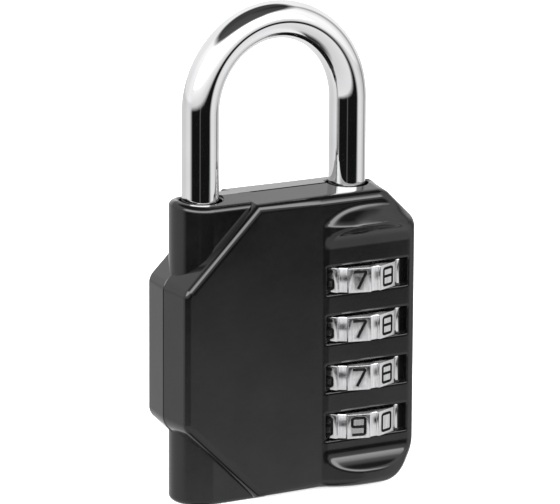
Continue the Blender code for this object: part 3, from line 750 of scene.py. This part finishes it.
def engraverMesh():
    # every digit's strokes, each laid on its own facet
    flat = wheelShape["radius"] * math.cos(math.radians(wheelShape["facetHalf"]))
    cutter = bmesh.new()
    for digit in range(wheelShape["facets"]):
        strokes = digitCutter(digit)
        graph = bpy.context.evaluated_depsgraph_get()
        graph.update()
        part = bmesh.new()
        part.from_mesh(bpy.data.meshes.new_from_object(strokes.evaluated_get(graph)))
        bpy.data.objects.remove(strokes)
        bmesh.ops.translate(part, verts=part.verts, vec=(0, -flat - wheelShape["strokeOut"], 0))
        bmesh.ops.rotate(part, verts=part.verts, cent=(0, 0, 0),
                         matrix=Matrix.Rotation(math.radians(digit * digitStep), 3, "Z"))
        spare = bpy.data.meshes.new("spare")
        part.to_mesh(spare)
        part.free()
        cutter.from_mesh(spare)
        bpy.data.meshes.remove(spare)
    bmesh.ops.recalc_face_normals(cutter, faces=cutter.faces)
    return cutter


def buildWheels(chrome, ink):
    wheel = wheelMesh(chrome, ink)
    engraver = makeObject("engraver", engraverMesh(), [ink])
    mod = wheel.modifiers.new("engrave", "BOOLEAN")
    mod.object = engraver
    mod.solver = "EXACT"
    mod.use_self = True
    mod.material_mode = "TRANSFER"
    bakeModifiers(wheel)
    bpy.data.objects.remove(engraver)
    print("wheel:", len(wheel.data.polygons), "faces,", len(wheel.data.materials), "finishes")
    for number, reading in enumerate(wheelShape["reading"], 1):
        turn = math.radians(wheelShape["phase"] - digitStep / 2 - reading * digitStep)
        bm = bmesh.new()
        bm.from_mesh(wheel.data)
        bmesh.ops.rotate(bm, verts=bm.verts, cent=(0, 0, 0), matrix=Matrix.Rotation(turn, 3, "Z"))
        bmesh.ops.translate(bm, verts=bm.verts,
                            vec=(dialX * mm, 0, dialHeights[number - 1] * mm))
        obj = makeObject(f"numberWheel{number}", bm, list(wheel.data.materials),
                         wheelShape["sharpAngle"], scale=1)
        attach(obj, f"dial_{number}")
        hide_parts(f"dial_ring_{number}")
    bpy.data.objects.remove(wheel)


# inner parts keep their shape and get a finish
innerLook = {
    "turnedSteel": ((0.30, 0.30, 0.31), (0.42, 0.42, 0.43), (0.25, 0.42)),
    "springSteel": ((0.16, 0.16, 0.17), (0.27, 0.27, 0.28), (0.2, 0.36)),
    "turnedBrass": ((0.52, 0.36, 0.13), (0.68, 0.49, 0.20), (0.24, 0.4)),
}


def dressInner():
    steel, spring, brass = (metalMaterial(name, *look) for name, look in innerLook.items())
    finishes = {"case_pin": steel, "heel_spring_seat": steel, "heel_spring": spring,
                "heel_clip": spring, "dial_sleeve": brass, "spacer": steel,
                "wave_washer": spring, "detent_strip": spring, "spindle": steel,
                "latch_spring": spring, "latch": steel}
    for name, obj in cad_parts.items():
        for start in sorted(finishes, key=len, reverse=True):
            if name.startswith(start):
                for slot in obj.material_slots:
                    slot.material = finishes[start]
                break
    # the latch spring, which closes up as the latch draws back, is copied into a mesh of its own
    # and hung on the case
    bm = bmesh.new()
    bm.from_mesh(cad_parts["latch_spring"].data)
    coil = makeObject("latchCoil", bm, [spring], sharpAngle=40, scale=1)
    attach(coil, "case")
    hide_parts("latch_spring")
    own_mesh(coil)
    print("inner parts dressed")


cameraSetup = {"place": (-0.36626, -0.67353, 0.23752), "turn": (75.4686, -0.3094, -28.4198),
               "lens": 319.83, "sensor": 36.0, "far": 50}
# brightness of what the lock mirrors: front and rest by degrees above the horizon, the others
# by share of a full turn, with the front at one half
studioLook = {
    "strength": 8.0,
    "front": ((-90, 0.004), (-68, 0.004), (-52, 0.10), (-17.2, 0.12), (-15.4, 0.06),
              (-13.7, 0.001), (-7, 0.001), (-3, 0.10), (10, 0.15), (17, 0.9), (38, 0.9),
              (50, 0.15), (56, 0.012), (90, 0.01)),
    "rest": ((-90, 0.13), (-20, 0.11), (-3, 0.10), (0, 0.13), (49, 0.15), (57, 0.008),
             (90, 0.008)),
    "side": ((0.0, 1.0), (0.24, 1.0), (0.285, 0.0), (0.408, 0.0), (0.421, 0.13), (0.434, 0.0),
             (0.582, 0.0), (0.62, 1.0), (1.0, 1.0)),
    "shade": ((0.0, 0.95), (0.06, 0.90), (0.12, 0.90), (0.20, 1.05), (0.24, 1.0), (0.62, 1.1),
              (0.67, 1.1), (0.735, 0.75), (0.754, 0.35), (0.775, 0.5), (0.80, 0.95),
              (1.0, 0.95)),
    "dip": ((0.0, 0.010), (0.555, 0.010), (0.575, 0.0), (1.0, 0.0)),
}
floorLook = {"halfSize": 8, "color": (0.9, 0.9, 0.9), "roughness": 0.9, "glow": 0.7}


def ramp(tree, source, stops):
    node = tree.nodes.new("ShaderNodeValToRGB")
    node.color_ramp.interpolation = "LINEAR"
    points = node.color_ramp.elements
    while len(points) < len(stops):
        points.new(0.5)
    for point, (place, value) in zip(points, stops):
        point.position = place
        point.color = (value, value, value, 1)
    tree.links.new(source, node.inputs["Fac"])
    return node.outputs["Color"]


def math2(tree, operation, a, b):
    node = tree.nodes.new("ShaderNodeMath")
    node.operation = operation
    for socket, value in zip(node.inputs, (a, b)):
        if isinstance(value, (int, float)):
            socket.default_value = value
        else:
            tree.links.new(value, socket)
    return node.outputs["Value"]


def byHeight(stops):
    # degrees above the horizon to the share of a sphere's height
    return [(0.5 + 0.5 * math.sin(math.radians(degrees)), value) for degrees, value in stops]


def buildCamera(scene):
    camera = bpy.data.objects.new("camera", bpy.data.cameras.new("camera"))
    camera.data.lens = cameraSetup["lens"]
    camera.data.sensor_width = cameraSetup["sensor"]
    camera.data.clip_end = cameraSetup["far"]
    camera.location = cameraSetup["place"]
    camera.rotation_euler = Euler([math.radians(a) for a in cameraSetup["turn"]], "XYZ")
    scene.collection.objects.link(camera)
    scene.camera = camera


def buildWorld(scene):
    world = bpy.data.worlds.new("studio")
    world.use_nodes = True
    scene.world = world
    tree = world.node_tree
    coords = tree.nodes.new("ShaderNodeTexCoord")
    split = tree.nodes.new("ShaderNodeSeparateXYZ")
    tree.links.new(coords.outputs["Generated"], split.inputs["Vector"])
    height = math2(tree, "MULTIPLY_ADD", split.outputs["Z"], 0.5)
    height.node.inputs[2].default_value = 0.5
    azimuth = math2(tree, "ARCTAN2", split.outputs["X"],
                    math2(tree, "MULTIPLY", split.outputs["Y"], -1))
    turn = math2(tree, "ADD", math2(tree, "DIVIDE", azimuth, math.tau), 0.5)
    # ahead of the front face: pale floor below, a dark room, one softbox, dark above
    dip = ramp(tree, turn, studioLook["dip"])
    front = ramp(tree, math2(tree, "ADD", height, dip), byHeight(studioLook["front"]))
    rest = ramp(tree, height, byHeight(studioLook["rest"]))
    shade = ramp(tree, turn, studioLook["shade"])
    mix = tree.nodes.new("ShaderNodeMix")
    mix.data_type = "RGBA"
    tree.links.new(ramp(tree, turn, studioLook["side"]), mix.inputs["Factor"])
    tree.links.new(front, mix.inputs["A"])
    tree.links.new(math2(tree, "MULTIPLY", rest, shade), mix.inputs["B"])
    mirrored = tree.nodes["Background"]
    tree.links.new(mix.outputs["Result"], mirrored.inputs["Color"])
    mirrored.inputs["Strength"].default_value = studioLook["strength"]
    # the backdrop itself and the light it gives are plain white
    plain = tree.nodes.new("ShaderNodeBackground")
    plain.inputs["Color"].default_value = (1, 1, 1, 1)
    rays = tree.nodes.new("ShaderNodeLightPath")
    choose = tree.nodes.new("ShaderNodeMixShader")
    seen = math2(tree, "MAXIMUM", rays.outputs["Is Camera Ray"], rays.outputs["Is Diffuse Ray"])
    tree.links.new(seen, choose.inputs["Fac"])
    tree.links.new(mirrored.outputs["Background"], choose.inputs[1])
    tree.links.new(plain.outputs["Background"], choose.inputs[2])
    tree.links.new(choose.outputs["Shader"], tree.nodes["World Output"].inputs["Surface"])


def buildFloor():
    bm = bmesh.new()
    bmesh.ops.create_grid(bm, x_segments=1, y_segments=1, size=floorLook["halfSize"])
    material, _, shader = newMaterial("paleFloor")
    shader.inputs["Base Color"].default_value = (*floorLook["color"], 1)
    shader.inputs["Roughness"].default_value = floorLook["roughness"]
    shader.inputs["Specular IOR Level"].default_value = 0.0
    shader.inputs["Emission Color"].default_value = (1, 1, 1, 1)
    shader.inputs["Emission Strength"].default_value = floorLook["glow"]
    floor = makeObject("floor", bm, [material], scale=1)
    floor.visible_glossy = False


def buildStudio():
    scene = bpy.context.scene
    scene.view_settings.view_transform = "Standard"
    buildCamera(scene)
    buildWorld(scene)
    buildFloor()
    print("studio ready")


print("start")
buildStudio()
lacquer, chrome = lacquerMaterial(), chromeMaterial()
buildCase(lacquer)
buildShackle(chrome)
buildWheels(wheelMaterial(), inkMaterial())
dressInner()
